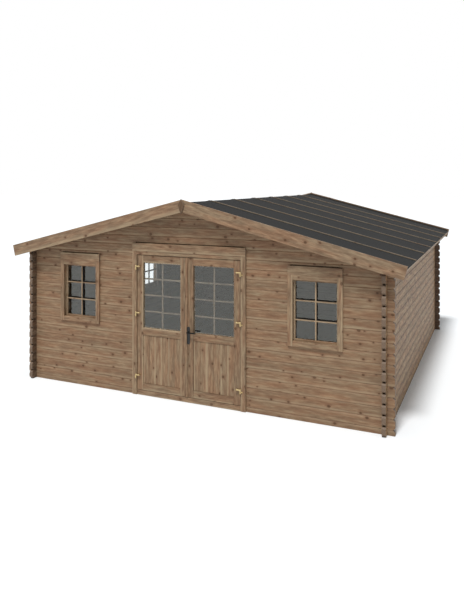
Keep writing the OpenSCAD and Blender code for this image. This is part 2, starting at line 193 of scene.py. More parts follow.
def dress(tree, shader, colour, rough, height, strength, distance, gloss):
    """Links a colour, a roughness and a relief to the shader. Gloss is how much it mirrors."""
    bump = add_node(tree, "Bump", {"Height": height, "Strength": strength, "Distance": distance})
    tree.links.new(colour, shader.inputs["Base Color"])
    tree.links.new(rough, shader.inputs["Roughness"])
    tree.links.new(bump.outputs[0], shader.inputs["Normal"])
    shader.inputs["Specular IOR Level"].default_value = gloss


print("materials so far:", len(bpy.data.materials))

# %% [markdown]
# ## Light
# The picture has a broad, soft light from high in front: the eaves throw a shadow band down the gable
# wall, and the roof's edge a soft shadow beside the right wall. Several lamps could be set for these, but
# one wide sun does both. The world fills in from all round. It shows as plain white to the eye, in
# reflections and through glass, while it lights the boards at a lower level.

# %% Sun and world
SUN_HEIGHT = math.radians(63)
SUN_WIDTH = math.radians(10.5)
SUN_POWER = 2.54
FILL_LIGHT = 0.38
WHITE = (1, 1, 1, 1)
FIRST_BOUNCE = 0.5             # dull bounces are whole numbers, so half parts none from some


def seen_directly(tree):
    """1 where the ray comes from the eye, a reflection or glass, with no dull bounce before it."""
    path = add_node(tree, "LightPath").outputs
    clear = calc(tree, "MAXIMUM", path["Is Camera Ray"], path["Is Glossy Ray"])
    clear = calc(tree, "MAXIMUM", clear, path["Is Transmission Ray"])
    first = calc(tree, "LESS_THAN", path["Diffuse Depth"], FIRST_BOUNCE)
    return calc(tree, "MULTIPLY", clear, first)


sun_data = bpy.data.lights.new("high_sun", "SUN")
sun_data.energy = SUN_POWER
sun_data.angle = SUN_WIDTH
sun = bpy.data.objects.new("high_sun", sun_data)
sun.rotation_euler = (math.pi / 2 - SUN_HEIGHT, 0, 0)
scene.collection.objects.link(sun)

world = bpy.data.worlds.new("white_studio")
world.use_nodes = True
tree = world.node_tree
tree.nodes.clear()
strength = between(tree, seen_directly(tree), FILL_LIGHT, 1.0)
sky = add_node(tree, "Background", {"Color": WHITE, "Strength": strength})
add_node(tree, "OutputWorld", {"Surface": sky.outputs[0]})
scene.world = world
print("sun at", round(math.degrees(SUN_HEIGHT)), "degrees, fill", FILL_LIGHT)

# %% [markdown]
# ## Floor
# The house stands on a plain pale floor that runs into the white and keeps the shadow. Like the world, it
# is paler to the eye than in the light that it sends back to the walls. A faint glow of its own lifts it
# in front of the house and beside it, where the picture is white close to the walls. More light could do
# that too, but it would also make the house too bright.

# %% Pale floor
FLOOR_HALF = 90.0
FLOOR_DROP = 0.001
FLOOR_DULL = (0.8, 0.8, 0.8, 1)
FLOOR_SEEN = (0.95, 0.98, 1.0, 1)
FRONT_GLOW = 0.12
SIDE_GLOW = 0.05
GLOW_REACH = 0.5               # metres from the wall to the full glow

paint, tree, _ = new_finish("pale_floor")
tree.nodes.clear()
seen = seen_directly(tree)
dull = add_node(tree, "BsdfDiffuse", {"Color": mix_colour(tree, seen, FLOOR_DULL, FLOOR_SEEN)})
x, y, _ = split(tree, own_place(tree))
ahead = fading(tree, y, front_y - GLOW_REACH, front_y)
beside = fading(tree, calc(tree, "ABSOLUTE", x), right_x + GLOW_REACH, right_x)
front_glow = calc(tree, "MULTIPLY", ahead, FRONT_GLOW)
side_glow = calc(tree, "MULTIPLY", beside, SIDE_GLOW)
strength = calc(tree, "MULTIPLY", seen, calc(tree, "MAXIMUM", front_glow, side_glow))
glow = add_node(tree, "Emission", {"Color": WHITE, "Strength": strength})
both = add_node(tree, "AddShader", {0: dull.outputs[0], 1: glow.outputs[0]})
add_node(tree, "OutputMaterial", {"Surface": both.outputs[0]})

mesh = bpy.data.meshes.new("studio_floor")
signs = ((-1, -1), (1, -1), (1, 1), (-1, 1))
corners = [(x_sign * FLOOR_HALF, y_sign * FLOOR_HALF, -FLOOR_DROP) for x_sign, y_sign in signs]
mesh.from_pydata(corners, [], [(0, 1, 2, 3)])
mesh.materials.append(paint)
floor = bpy.data.objects.new("studio_floor", mesh)
scene.collection.objects.link(floor)
floor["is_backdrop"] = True
print("floor", FLOOR_HALF * 2, "m wide")

# %% [markdown]
# ## Stained pine
# All the wood is pine with one brown stain. What the eye reads as pine is three things: streaks that run
# with the grain, dark knots with a softer rim, and slow drifts between reddish and olive brown. A picture
# of wood would repeat and stretch, so the finish is worked out from coordinates instead: u runs along the
# grain, v across the wide face and w into the board, in metres. Noise that is stretched along u makes the
# streaks. Knots come first: the cells of a flat Voronoi pattern place them, and a random number for each
# cell says whether it holds one and how large it is.

# %% Noise and knots
KNOT_CELLS = 6.5               # knot places to the metre, across the grain
KNOT_STRETCH = 0.75            # places along the grain, as a share of those
KNOT_SHARE = 0.75              # share of the places that hold a knot
KNOT_SIZE = 0.016              # half the width of the largest knot, in metres
KNOT_SMALLEST = 0.45           # the smallest knot, as a share of the largest
KNOT_EDGE = 1.385              # where a dark knot has faded, in its own radii
KNOT_RIM_EDGE = 3.0            # where its rim has faded
KNOT_WOBBLE = (70.0, 0.5)      # how fine and how strong its outline is uneven
NO_KNOT = 0.0001               # a radius too small to see


def stretched(tree, place, along, across):
    scale = (along, across, across)
    return add_node(tree, "VectorMath", {0: place, 1: scale}, operation="MULTIPLY").outputs[0]


def noise_at(tree, place, detail, rough=0.6):
    sockets = {"Vector": place, "Scale": 1.0, "Detail": detail, "Roughness": rough}
    return add_node(tree, "TexNoise", sockets).outputs[0]


def knots_at(tree, place):
    """Two masks: the dark knot, and the rim where the grain flows round it."""
    sockets = {"Vector": stretched(tree, place, KNOT_STRETCH, 1.0), "Scale": KNOT_CELLS}
    cells = add_node(tree, "TexVoronoi", sockets, voronoi_dimensions="2D")
    luck = add_node(tree, "SeparateColor", {0: cells.outputs["Color"]}).outputs[0]
    over = calc(tree, "SUBTRACT", luck, 1 - KNOT_SHARE)
    grown = between(tree, calc(tree, "DIVIDE", over, KNOT_SHARE), KNOT_SMALLEST, 1.0)
    grown = calc(tree, "MULTIPLY", grown, calc(tree, "GREATER_THAN", over, 0.0))
    radius = calc(tree, "ADD", calc(tree, "MULTIPLY", grown, KNOT_SIZE * KNOT_CELLS), NO_KNOT)
    fineness, wobble = KNOT_WOBBLE
    uneven = noise_at(tree, stretched(tree, place, fineness, fineness), 1.0)
    ratio = calc(tree, "DIVIDE", cells.outputs["Distance"], radius)
    ratio = calc(tree, "ADD", ratio, calc(tree, "MULTIPLY", uneven, wobble))
    return fading(tree, ratio, 1.0, KNOT_EDGE), fading(tree, ratio, 1.0, KNOT_RIM_EDGE)


knot_count = KNOT_CELLS ** 2 * KNOT_STRETCH * KNOT_SHARE
print("at most", round(knot_count), "knots to the square metre")

# %% [markdown]
# The stain itself goes from dark to light with the streaks. The grain flows round a knot, so near one the
# noise is read a little to the side. A second, much slower noise decides where the brown leans to red and
# where to olive.

# %% Grain and stain
STREAKS = (6.5, 38.0)          # noise to the metre, along and across the grain
PORES = (9.0, 240.0)
DRIFTS = (2.4, 13.0)
STREAK_SHARE = 0.7             # the rest of the tone is pores
GRAIN_BEND = 0.010             # how far the grain flows aside at a knot, in metres
RED_FULL = 0.639               # the drift from which the brown is red
RED_NONE = 0.361               # the drift under which it is olive
REDDISH = (1.08, 0.95, 0.88, 1)
OLIVE = (1.0, 1.03, 1.02, 1)


def pine_tone(tree, place, rim):
    """The streaks and the fine pores along the grain, and a slow drift."""
    bend = add_node(tree, "CombineXYZ", {1: calc(tree, "MULTIPLY", rim, GRAIN_BEND)}).outputs[0]
    bent = add_node(tree, "VectorMath", {0: place, 1: bend}, operation="ADD").outputs[0]
    streak = noise_at(tree, stretched(tree, bent, *STREAKS), 4.0)
    fine = noise_at(tree, stretched(tree, bent, *PORES), 2.0)
    drift = noise_at(tree, stretched(tree, place, *DRIFTS), 2.0)
    return streak, fine, drift


def stain_colour(tree, stain, spread, streak, fine, drift):
    """The stain from dark to light, redder or more olive with the drift."""
    tone = weighted(tree, (streak, STREAK_SHARE), (fine, 1 - STREAK_SHARE))
    ramp = add_node(tree, "ValToRGB", {"Fac": tone})
    stops = ramp.color_ramp.elements
    stops[0].position = 0.5 - spread
    stops[0].color = stain["dark"]
    stops[1].position = 0.5 + spread
    stops[1].color = stain["light"]
    stops.new(0.5).color = stain["mid"]
    red = mix_colour(tree, 1.0, ramp.outputs[0], REDDISH, "MULTIPLY")
    olive = mix_colour(tree, 1.0, ramp.outputs[0], OLIVE, "MULTIPLY")
    return mix_colour(tree, fading(tree, drift, RED_FULL, RED_NONE), olive, red)


print("streaks about", round(1000 / STREAKS[1]), "mm wide")

# %% [markdown]
# One function then builds every pine finish. It asks another function for its marks: where the grain
# runs, and, where they apply, masks of pale edges, of dark joints, of painted shade and of sawn ends,
# and a number that differs from board to board. The pale edges are sapwood, and on the logs also a
# painted highlight at the joints. The dark joints on the side walls are partly painted shade, and so are
# the kites' dark edges. Boards, logs and plain solids each have marks of their own, and share all the
# rest.

# %% Pine finish
# the pale colour is sapwood on the boards, and on the logs also a painted highlight at the joints
SAPWOOD_AND_HIGHLIGHT = shade(184, 164, 134)
# dark joints: a faint dark line on the gable walls, painted shade on the side walls
JOINT_DIRT_AND_SHADE = shade(70, 52, 38)
KNOT_DARK = shade(81, 56, 34)
KNOT_RIM = shade(114, 77, 54)
END_PALE = shade(132, 112, 94)
END_DARK = shade(92, 75, 61)
# painted shade: a cool darkening on the inner sides of the stubs past a crossing
STUB_SHADE_TINT = (0.50, 0.52, 0.62, 1.0)
# painted shade: a darker, calmer brown for the faces inside the house
INDOOR_SHADE = shade(100, 84, 66)
RIM_COVER = 0.5                # how much of the stain a knot's rim covers
KNOT_COVER = 0.85
INDOOR_SHADE_COVER = 0.65
LUCK_LEVELS = (0.93, 1.07)     # brightness of the unluckiest and the luckiest board
PINE_ROUGH = (0.45, 0.75)


def marked(tree, colour, marks, knot, rim, knots, pale_share):
    """The stain with its marks, in the order in which they cover each other."""
    # pale edges: sapwood, and on the logs also a painted highlight at the joints
    if "pale" in marks:
        colour = mix_colour(tree, calc(tree, "MULTIPLY", marks["pale"], pale_share), colour, SAPWOOD_AND_HIGHLIGHT)
    colour = mix_colour(tree, calc(tree, "MULTIPLY", rim, RIM_COVER * knots), colour, KNOT_RIM)
    colour = mix_colour(tree, calc(tree, "MULTIPLY", knot, KNOT_COVER * knots), colour, KNOT_DARK)
    if "luck" in marks:
        level = between(tree, marks["luck"], *LUCK_LEVELS)
        colour = add_node(tree, "VectorMath", {0: colour, "Scale": level}, operation="SCALE").outputs[0]
    # dark joints: a faint line on the gable walls, painted shade on the side walls
    if "joint" in marks:
        colour = mix_colour(tree, marks["joint"], colour, JOINT_DIRT_AND_SHADE)
    # painted shade inside the house
    if "indoor_shade" in marks:
        colour = mix_colour(tree, calc(tree, "MULTIPLY", marks["indoor_shade"], INDOOR_SHADE_COVER), colour, INDOOR_SHADE)
    # painted shade on the inner sides of the stubs past a crossing
    if "stub_shade" in marks:
        colour = mix_colour(tree, marks["stub_shade"], colour, STUB_SHADE_TINT, "MULTIPLY")
    if "end" in marks:
        rings = mix_colour(tree, marks["rings"], END_PALE, END_DARK)
        colour = mix_colour(tree, marks["end"], colour, rings)
    return colour


def stained_pine(name, marks_of, stain, knots=1.0, pale_share=0.5, spread=0.16):
    """A pine finish. Knots and the pale share say how strongly those show; a wide spread calms streaks."""
    material, tree, shader = new_finish(name)
    marks = marks_of(tree)
    knot, rim = knots_at(tree, marks["place"])
    streak, fine, drift = pine_tone(tree, marks["place"], rim)
    colour = stain_colour(tree, stain, spread, streak, fine, drift)
    colour = marked(tree, colour, marks, knot, rim, knots, pale_share)
    rough = between(tree, fine, *PINE_ROUGH)
    height = weighted(tree, (fine, 0.6), (streak, 0.5), (knot, -0.3))
    dress(tree, shader, colour, rough, height, strength=0.3, distance=0.002, gloss=0.35)
    return material


print("pine finish ready")

# %% [markdown]
# ## Log walls
# The walls keep the frame's own solids: their V joints, notches and cut ends are already true. What they
# need is that each log looks sawn from its own tree. The height of a point says which course it is in,
# and a random number for that course slides the grain pattern along. It also says which edge of the log
# is pale, the lower or the upper one: partly sapwood, partly a painted highlight where light would catch
# the log's edge at a joint. The sawn ends show grey rings. The inner sides of the stubs past a crossing
# are painted darker, which is painted shade, and the wood inside the house is painted darker and calmer,
# painted shade for rooms that no sun reaches.

# %% Edges, ends and inner sides of a log
# pale edges at the joints: partly sapwood, partly a painted highlight where light catches the edge
LOWER_PALE = (0.017, 0.018)     # middle and half width of a pale edge over a joint, in metres
UPPER_PALE = (0.014, 0.016)     # the same under a joint
UPPER_PALE_SHARE = 0.6
PALE_PATCHES = 2.5              # patches of sapwood to the metre
PALE_FULL = 0.583               # the noise from which a patch is full
PALE_NONE = 0.028
RING = 0.0045
HEART_HEIGHT = 0.4             # the rings' middle, as a share of the course
INWARD = -0.5                  # a face turned further in than this is an inner one
log_middle = {"x": -front_y - log_thick / 2, "y": right_x - log_thick / 2}
crossing = {"x": right_x, "y": -front_y}


def ridge(tree, value, centre, half_width):
    """1 where the value is at the centre, down to 0 at half_width on either side."""
    off = calc(tree, "ABSOLUTE", calc(tree, "SUBTRACT", value, centre))
    return fading(tree, off, 0.0, half_width)


def sapwood_and_joint_highlight(tree, place, above, below, pale_below):
    """Sapwood and a painted highlight on the log's lower edge where pale_below is large, else the upper."""
    lower_edge = calc(tree, "MULTIPLY", ridge(tree, above, *LOWER_PALE), pale_below)
    upper_share = calc(tree, "MULTIPLY", calc(tree, "SUBTRACT", 1.0, pale_below), UPPER_PALE_SHARE)
    upper_edge = calc(tree, "MULTIPLY", ridge(tree, below, *UPPER_PALE), upper_share)
    patches = noise_at(tree, stretched(tree, place, PALE_PATCHES, 0.0), 1.0)
    edges = calc(tree, "MAXIMUM", lower_edge, upper_edge)
    return calc(tree, "MULTIPLY", edges, fading(tree, patches, PALE_FULL, PALE_NONE))


def end_rings(tree, axis, depth, above):
    """Growth rings round the log's heart, each from 0 to 1."""
    inward = calc(tree, "SUBTRACT", calc(tree, "ABSOLUTE", depth), log_middle[axis])
    upward = calc(tree, "SUBTRACT", above, course * HEART_HEIGHT)
    from_heart = add_node(tree, "CombineXYZ", {0: inward, 1: upward}).outputs[0]
    far = add_node(tree, "VectorMath", {0: from_heart}, operation="LENGTH").outputs["Value"]
    return calc(tree, "FRACT", calc(tree, "DIVIDE", far, RING))


def inner_sides(tree, axis, run, depth, sideways):
    """Two masks of painted shade: inner sides of the stubs past a crossing, and the faces inside the house.
    """
    outward = calc(tree, "MULTIPLY", sideways, calc(tree, "SIGN", depth))
    turned_in = calc(tree, "LESS_THAN", outward, INWARD)
    past = calc(tree, "GREATER_THAN", calc(tree, "ABSOLUTE", run), crossing[axis])
    stub_shade = calc(tree, "MULTIPLY", past, turned_in)
    return stub_shade, calc(tree, "SUBTRACT", turned_in, stub_shade)


print("walls cross", round(crossing["x"], 3), "m from the middle line")

# %% [markdown]
# The marks of a wall put these together. A joint in the gable walls hardly needs its own dark: the V cut
# throws a shadow. On the side walls the light comes along the wall and leaves the cut without one, so
# there a soft dark band over each joint is painted shade, standing for that shadow.

# %% Marks of the logs
LOG_SLIDE = 60.0               # metres of trees that the logs are cut from
END_FACING = 0.7               # a face turned further along the log than this is a sawn end


def logs_along(axis, first_joint, seed, joint_reach, joint_depth):
    """Marks of a wall of logs along the axis, with a joint at the height first_joint."""
    def marks_of(tree):
        coords = add_node(tree, "TexCoord").outputs
        x, y, z = split(tree, coords["Object"])
        x_facing, y_facing, _ = split(tree, coords["Normal"])
        run, depth = (x, y) if axis == "x" else (y, x)
        facing, sideways = (x_facing, y_facing) if axis == "x" else (y_facing, x_facing)
        level = calc(tree, "DIVIDE", calc(tree, "SUBTRACT", z, first_joint), course)
        number = calc(tree, "ADD", calc(tree, "FLOOR", level), seed)
        luck = add_node(tree, "TexWhiteNoise", {"W": number}, noise_dimensions="1D").outputs
        slide = add_node(tree, "VectorMath", {0: luck["Color"], "Scale": LOG_SLIDE}, operation="SCALE")
        own = add_node(tree, "CombineXYZ", {0: run, 1: z, 2: depth})
        place = add_node(tree, "VectorMath", {0: own.outputs[0], 1: slide.outputs[0]}, operation="ADD")
        place = place.outputs[0]
        above = calc(tree, "MULTIPLY", calc(tree, "FRACT", level), course)
        below = calc(tree, "SUBTRACT", course, above)
        # which edge is pale: sapwood and a painted highlight at the joint
        pale_below = add_node(tree, "SeparateColor", {0: luck["Color"]}).outputs[1]
        joint = ridge(tree, calc(tree, "MINIMUM", above, below), 0.0, joint_reach)
        # painted shade: the inner stub sides, and the faces inside the house
        stub_shade, indoor_shade = inner_sides(tree, axis, run, depth, sideways)
        return {
            "place": place,
            "pale": sapwood_and_joint_highlight(tree, place, above, below, pale_below),
            "joint": calc(tree, "MULTIPLY", joint, joint_depth),
            "end": calc(tree, "GREATER_THAN", calc(tree, "ABSOLUTE", facing), END_FACING),
            "rings": end_rings(tree, axis, depth, above),
            "luck": luck["Value"],
            "stub_shade": stub_shade,
            "indoor_shade": indoor_shade,
        }
    return marks_of


def finish_nodes(material, *names):
    """Gives some of the frame's solids a finish."""
    for name in names:
        slots = nodes[name].material_slots
        if not slots:
            nodes[name].data.materials.append(material)
        for slot in slots:
            slot.material = material


WALL_STAIN = {"light": shade(157, 136, 109), "mid": shade(130, 105, 81), "dark": shade(107, 78, 58)}
SIDE_STAIN = {"light": shade(185, 158, 125), "mid": shade(149, 122, 90), "dark": shade(109, 82, 58)}
gable_marks = logs_along("x", first_joint=course / 2, seed=0, joint_reach=0.006, joint_depth=0.03)
# side walls: a broad dark band at each joint, painted shade for the V cut
side_marks = logs_along("y", first_joint=0.0, seed=50, joint_reach=course / 2, joint_depth=0.45)
gable_logs = stained_pine("gable_logs", gable_marks, WALL_STAIN, pale_share=0.64, spread=0.21)
side_logs = stained_pine("side_logs", side_marks, SIDE_STAIN, pale_share=0.25)
finish_nodes(gable_logs, "front_wall_left", "front_wall_right", "front_gable", "back_wall")
finish_nodes(side_logs, "left_wall", "right_wall")
print("log walls finished with", len(gable_logs.node_tree.nodes), "nodes each")

# %% [markdown]
# ## Boards
# The rest of the joinery is boards. A board is drawn flat, u along its grain and v across, given its
# thickness, and its edges are eased by a small bevel: sharp edges are what gives a computer model away.
# Cubes with a bevel modifier would do for square boards, but the barge boards and kites need other
# outlines. Each board also stores where it was cut from the tree, its grain coordinates, so that boards
# joined into one mesh still have a grain each of their own. Three more numbers say how far a point is
# from the two edges and how lucky the board is, which decides about sapwood. Joined meshes keep the
# objects few.

# %% A stack of boards
EASE = 0.002
EASE_STEPS = 2
TREE_LENGTH = 80               # metres of trees that the boards are cut from
WIDE_FACE = 0.97               # a face turned less to the front than this is an edge
END_FACE = 0.9                 # a face turned further along the grain than this is a sawn end
tree_luck = random.Random(23)


def rectangle(start, low, end, high):
    """The outline of a square-cut board, from start to end along its grain."""
    return [(start, low), (end, low), (end, high), (start, high)]


class BoardStack:
    """Boards gathered into one mesh."""

    def __init__(self):
        self.points = []
        self.faces = []
        self.grain = []
        self.edges = []
        self.ends = []

    def add(self, outline, thick, place, ease=EASE, luck=None, dark_edges_round=False):
        """A board with this outline, set in the house by the matrix place, dark at its ends or all round."""
        board = bmesh.new()
        front = [board.verts.new((u, v, 0.0)) for u, v in outline]
        back = [board.verts.new((u, v, thick)) for u, v in outline]
        board.faces.new(list(reversed(front)))
        board.faces.new(back)
        count = len(outline)
        for i in range(count):
            j = (i + 1) % count
            board.faces.new((front[i], front[j], back[j], back[i]))
        bmesh.ops.bevel(board, geom=board.edges[:], offset=ease, segments=EASE_STEPS, profile=0.5,
                        affect="EDGES")
        bmesh.ops.recalc_face_normals(board, faces=board.faces[:])
        board.verts.index_update()
        board.normal_update()
        start = len(self.points)
        cut = Vector([tree_luck.uniform(0, TREE_LENGTH) for _ in range(3)])
        luck = tree_luck.random() if luck is None else luck
        low = min(v for _, v in outline)
        high = max(v for _, v in outline)
        self.grain += [tuple(vert.co + cut) for vert in board.verts]
        self.edges += [(vert.co.y - low, high - vert.co.y, luck) for vert in board.verts]
        self.points += [tuple(place @ vert.co) for vert in board.verts]
        self.faces += [tuple(start + vert.index for vert in face.verts) for face in board.faces]
        # all round: end grain colours on every edge, partly painted shade
        if dark_edges_round:
            self.ends += [float(abs(face.normal.z) < WIDE_FACE) for face in board.faces]
        else:
            self.ends += [float(abs(face.normal.x) > END_FACE) for face in board.faces]
        board.free()

    def bar(self, low, high, along, house=Matrix(), ease=EASE, luck=None):
        """A square-cut board from one corner to the other, with its grain along an axis."""
        low, high = Vector(low), Vector(high)
        size = high - low
        run = "xyz".index(along)
        broad, thin = sorted((axis for axis in range(3) if axis != run), key=lambda axis: -size[axis])
        u, v = (Vector([float(axis == i) for i in range(3)]) for axis in (run, broad))
        w = u.cross(v)
        corner = low.copy()
        if w[thin] < 0:
            corner[thin] = high[thin]
        turn = Matrix((u, v, w)).transposed().to_4x4()
        outline = rectangle(0, 0, size[run], size[broad])
        self.add(outline, size[thin], house @ Matrix.Translation(corner) @ turn, ease, luck)

    def make(self, name, material, body, slot, *replaced):
        """Turns the stack into a piece of the house."""
        mesh = bpy.data.meshes.new(name)
        mesh.from_pydata(self.points, [], self.faces)
        for label, values in (("grain", self.grain), ("edges", self.edges)):
            layer = mesh.attributes.new(label, "FLOAT_VECTOR", "POINT")
            layer.data.foreach_set("vector", [value for point in values for value in point])
        mesh.attributes.new("ends", "FLOAT", "FACE").data.foreach_set("value", self.ends)
        mesh.materials.append(material)
        piece = bpy.data.objects.new(name, mesh)
        scene.collection.objects.link(piece)
        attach(piece, body)
        if replaced:
            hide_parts(*replaced)
        print(name, len(self.faces), "faces")
        return piece


print("boards are eased by", EASE * 1000, "mm")

# %% [markdown]
# The marks of a board read those stored numbers back. A board with much luck has sapwood along its higher
# edge, one with little luck along its lower edge, and in between it is all heartwood. The border of the
# sapwood wavers with a little noise. Where the picture shows which kind a board is, its luck is given
# instead of drawn. Plain solids of the frame only say which way their grain runs.

# %% Marks of boards and of plain solids
SAPPY_LOW = 0.4                # boards with less luck have a pale lower edge
SAPPY_HIGH = 0.6               # boards with more luck have a pale higher edge
HEARTWOOD = 0.5                # the luck of a board with no pale edge
SAPPY_RIGHT = 0.7              # the luck of an upright board with a pale right edge
SAP_REACH = 0.022
SAP_CLOUDS = (3.0, 20.0)       # noise to the metre, along and across the grain
SAP_WAVER = 1.6


def boards_with_sapwood(sap_reach):
    def marks_of(tree):
        place = add_node(tree, "Attribute", attribute_name="grain").outputs["Vector"]
        edges = add_node(tree, "Attribute", attribute_name="edges").outputs["Vector"]
        low, high, luck = split(tree, edges)
        cloud = noise_at(tree, stretched(tree, place, *SAP_CLOUDS), 2.0)
        from_low = calc(tree, "ADD", low, calc(tree, "GREATER_THAN", luck, SAPPY_LOW))
        from_high = calc(tree, "ADD", high, calc(tree, "LESS_THAN", luck, SAPPY_HIGH))
        wavy = calc(tree, "MULTIPLY", cloud, SAP_WAVER * sap_reach)
        reach = calc(tree, "ADD", calc(tree, "MINIMUM", from_low, from_high), wavy)
        pale = fading(tree, reach, sap_reach, 2 * sap_reach)
        end = add_node(tree, "Attribute", attribute_name="ends").outputs["Fac"]
        return {"place": place, "pale": pale, "luck": luck, "end": end, "rings": cloud}
    return marks_of


def solid_marks(along):
    def marks_of(tree):
        x, y, z = split(tree, own_place(tree))
        order = (x, z, y) if along == "x" else (y, z, x)
        return {"place": add_node(tree, "CombineXYZ", dict(enumerate(order))).outputs[0]}
    return marks_of


TRIM_STAIN = {"light": shade(161, 140, 113), "mid": shade(134, 111, 87), "dark": shade(105, 80, 61)}
board_marks = boards_with_sapwood(SAP_REACH)
trim_pine = stained_pine("trim_pine", board_marks, TRIM_STAIN, knots=0.8)
print("finish", trim_pine.name, "with", len(trim_pine.node_tree.nodes), "nodes")

# %% [markdown]
# ## Roof boards and purlins
# Under the felt lie tongued boards from ridge to eave; their V joints show from below at the eaves and
# from inside. One slab would hide that, so each slope is a row of boards. The left slope is the right one
# turned half a turn about the upright axis, which suits everything on this roof that is the same on both
# sides.

# %% Roof boards
ROOF_BOARD_T = 0.019
ROOF_BOARD_W = 0.096
ROOF_BOARD_EASE = 0.003
SEAT_PLAY = 0.0002
roof_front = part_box("roof_boards_right")[0].y
roof_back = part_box("roof_boards_right")[1].y
right_slope = Matrix.Translation((0, 0, ridge_z)) @ Matrix.Rotation(pitch, 4, "Y")
slopes = {"right": right_slope, "left": Matrix.Rotation(math.pi, 4, "Z") @ right_slope}
# The lowest outer corner of the roof boards gives their length down the slope
board_end = (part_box("roof_boards_right")[1].x - ROOF_BOARD_T * math.sin(pitch)) / math.cos(pitch)

roof_pine = stained_pine("roof_pine", board_marks, WALL_STAIN)
board_count = round((roof_back - roof_front) / ROOF_BOARD_W)
board_pitch = (roof_back - roof_front) / board_count
for side, slope in slopes.items():
    stack = BoardStack()
    seat = slope @ Matrix.Translation((0, 0, SEAT_PLAY))
    for i in range(board_count):
        near = roof_front + i * board_pitch
        outline = rectangle(0, near, board_end, near + board_pitch)
        stack.add(outline, ROOF_BOARD_T - SEAT_PLAY, seat, ROOF_BOARD_EASE)
    stack.make("sarking_" + side, roof_pine, "cabin", "roof_wood", "roof_boards_" + side)

purlin_pine = stained_pine("purlin_pine", solid_marks("y"), WALL_STAIN)
finish_nodes(purlin_pine, "ridge_purlin", "left_purlin", "right_purlin")

# %% [markdown]
# ## Felt
# The roof is covered with dark mineral felt in bays between the battens. It is a flat sheet, so the solid
# stays and only its surface is worked: fine grit, faint runs down the slope, and a slightly different
# grey in each bay, because each bay is its own strip from the roll.

# %% Mineral felt
BATTENS = 6
FELT_GRIT = 420.0              # noise to the metre
FELT_RUNS = (0.9, 9.0)         # noise to the metre, down and across the slope
SLOPE_SEED = 20.0              # keeps the greys of the two slopes apart
FELT_ROUGH = (0.75, 0.95)
bay = (roof_back - roof_front) / (BATTENS + 1)


def mineral_felt(name, dark, pale):
    material, tree, shader = new_finish(name)
    place = own_place(tree)
    x, y, _ = split(tree, place)
    grit = noise_at(tree, stretched(tree, place, FELT_GRIT, FELT_GRIT), 2.0)
    runs = noise_at(tree, stretched(tree, place, *FELT_RUNS), 3.0)
    strip = calc(tree, "FLOOR", calc(tree, "DIVIDE", calc(tree, "SUBTRACT", y, roof_front), bay))
    number = calc(tree, "ADD", strip, calc(tree, "MULTIPLY", calc(tree, "SIGN", x), SLOPE_SEED))
    luck = add_node(tree, "TexWhiteNoise", {"W": number}, noise_dimensions="1D").outputs["Value"]
    tone = weighted(tree, (grit, 0.5), (runs, 0.35), (luck, 0.15))
    colour = mix_colour(tree, tone, dark, pale)
    rough = between(tree, grit, *FELT_ROUGH)
    dress(tree, shader, colour, rough, height=grit, strength=0.3, distance=0.001, gloss=0.2)
    return material


felt = mineral_felt("mineral_felt", shade(13, 13, 13), shade(30, 30, 29))
finish_nodes(felt, "felt_left", "felt_right")
print("felt in bays of", round(bay, 3), "m")

# %% [markdown]
# ## Battens and fascias
# Six battens hold the felt on each slope, and a fascia closes each eave. The battens are sawn, not
# planed, and lie in the weather, so their stain is greyer than that of the trim. Both are square-cut
# boards in the slope's own coordinates, which saves working out any slanted corner.

# %% Battens and fascias
FELT_T = 0.004
BATTEN_W = 0.024
BATTEN_T = 0.010
FASCIA_T = 0.018
FASCIA_H = 0.048
BATTEN_STAIN = {"light": shade(114, 101, 86), "mid": shade(95, 83, 69), "dark": shade(73, 62, 50)}
felt_top = ROOF_BOARD_T + FELT_T
eave_end = board_end + FASCIA_T
batten_pine = stained_pine("batten_pine", board_marks, BATTEN_STAIN, knots=0.5, pale_share=0.15)
for side, slope in slopes.items():
    stack = BoardStack()
    for i in range(1, BATTENS + 1):
        near = roof_front + i * bay - BATTEN_W / 2
        outline = rectangle(0, near, eave_end, near + BATTEN_W)
        stack.add(outline, BATTEN_T, slope @ Matrix.Translation((0, 0, felt_top)))
    stack.make("felt_battens_" + side, batten_pine, "cabin", "batten_wood", "battens_" + side)

    stack = BoardStack()
    low = (board_end, roof_front, ROOF_BOARD_T - FASCIA_H)
    stack.bar(low, (eave_end, roof_back, ROOF_BOARD_T), "y", slope)
    stack.make("eave_board_" + side, trim_pine, "cabin", "trim_wood", "eave_fascia_" + side)

# %% [markdown]
# ## Barge boards
# A pair of barge boards closes each gable. Their upper ends are cut plumb, so that the pair meets in one
# upright line, and that is why they are drawn as outlines. They are the widest boards of the house, with
# a wide band of sapwood that shows from far away. So each one's luck is given.

# %% Barge boards
BARGE_T = 0.020
BARGE_W = 0.148
BARGE_RISE = 0.034
BARGE_PAST = 0.006
BARGE_SAP_REACH = 0.042
BARGE_STAIN = {"light": shade(163, 140, 113), "mid": shade(134, 111, 88), "dark": shade(107, 85, 65)}
barge_pine = stained_pine("barge_pine", boards_with_sapwood(BARGE_SAP_REACH), BARGE_STAIN, pale_share=0.4)
barge_top = felt_top + BARGE_RISE
barge_low = barge_top - BARGE_W
barge_end = eave_end + BARGE_PAST
barge_outline = [(-barge_low * rise, barge_low), (barge_end, barge_low),
                 (barge_end, barge_top), (-barge_top * rise, barge_top)]
upright_x = Matrix(((1, 0, 0), (0, 0, -1), (0, 1, 0))).to_4x4()
